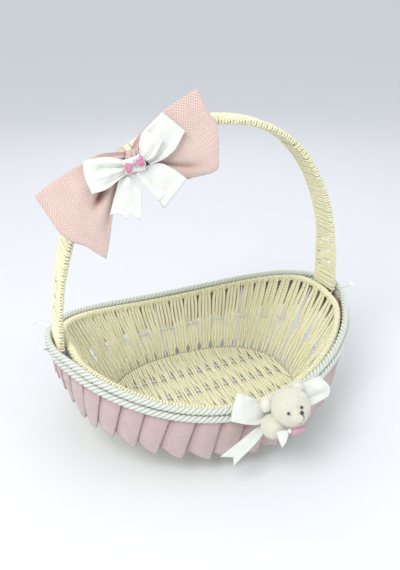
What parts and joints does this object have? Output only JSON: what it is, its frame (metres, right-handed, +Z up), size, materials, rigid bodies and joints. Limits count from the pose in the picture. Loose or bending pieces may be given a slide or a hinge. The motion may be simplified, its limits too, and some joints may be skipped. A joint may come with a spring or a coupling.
{
  "type": "easter basket",
  "caption": "Oval basket of wound paper cord on a wire frame with a fixed arched handle, rope-trimmed rim, pleated fabric skirt, ribbon bows and a small plush bear.",
  "frame": {"origin": "middle of the floor's flat underside, on the surface that the basket stands on", "axes": "+Z up; X runs along the handle and the basket's length; -Y is the front, with the bear"},
  "size_m": [0.3375, 0.2874, 0.3273],
  "materials": {
    "paper_cord": "matt twisted paper cord",
    "rope": "twisted three-strand rope, soft sheen",
    "frame_wire": "white paint",
    "blush_mesh": "coarse plain weave, matt",
    "satin": "satin ribbon, sheen along the width",
    "glitter": "pink glitter ribbon",
    "plush": "short plush pile",
    "pearl": "pearl lacquer",
    "stone": "cut, polished",
    "setting": "polished",
    "bead": "polished"
  },
  "bodies": {
    "root": {"rim_hoop": "frame_wire", "middle_hoop": "frame_wire", "base_hoop": "frame_wire", "base_wires": "frame_wire", "upright_wires": "frame_wire", "handle_front_wire": "frame_wire", "handle_center_wire": "frame_wire", "handle_rear_wire": "frame_wire", "floor_winding": "paper_cord", "lower_wall_winding": "paper_cord", "upper_wall_winding": "paper_cord", "rim_roll": "paper_cord", "handle_winding": "paper_cord", "upper_rim_rope": "rope", "lower_rim_rope": "rope", "ruffle": "blush_mesh", "pink_bow_left_wing": "blush_mesh", "pink_bow_right_wing": "blush_mesh", "pink_bow_band": "blush_mesh", "bow_strap": "blush_mesh", "satin_left_loop": "satin", "satin_outer_right_loop": "satin", "satin_inner_right_loop": "satin", "satin_left_tail": "satin", "satin_right_tail": "satin", "satin_knot": "satin", "rim_bow_left_loop": "satin", "rim_bow_right_loop": "satin", "rim_bow_tail": "satin", "rim_bow_knot": "satin", "bear_tie_white_wing": "satin", "bear_tie_knot": "satin", "bear_tie_pink_wing": "glitter", "bear_head": "plush", "bear_muzzle": "plush", "bear_ears": "plush", "bear_body": "plush", "pin_pearls": "pearl", "pin_shafts": "setting", "brooch_setting": "setting", "brooch_stones": "stone", "bear_eyes": "bead", "bear_nose": "bead"}
  },
  "joints": []
}
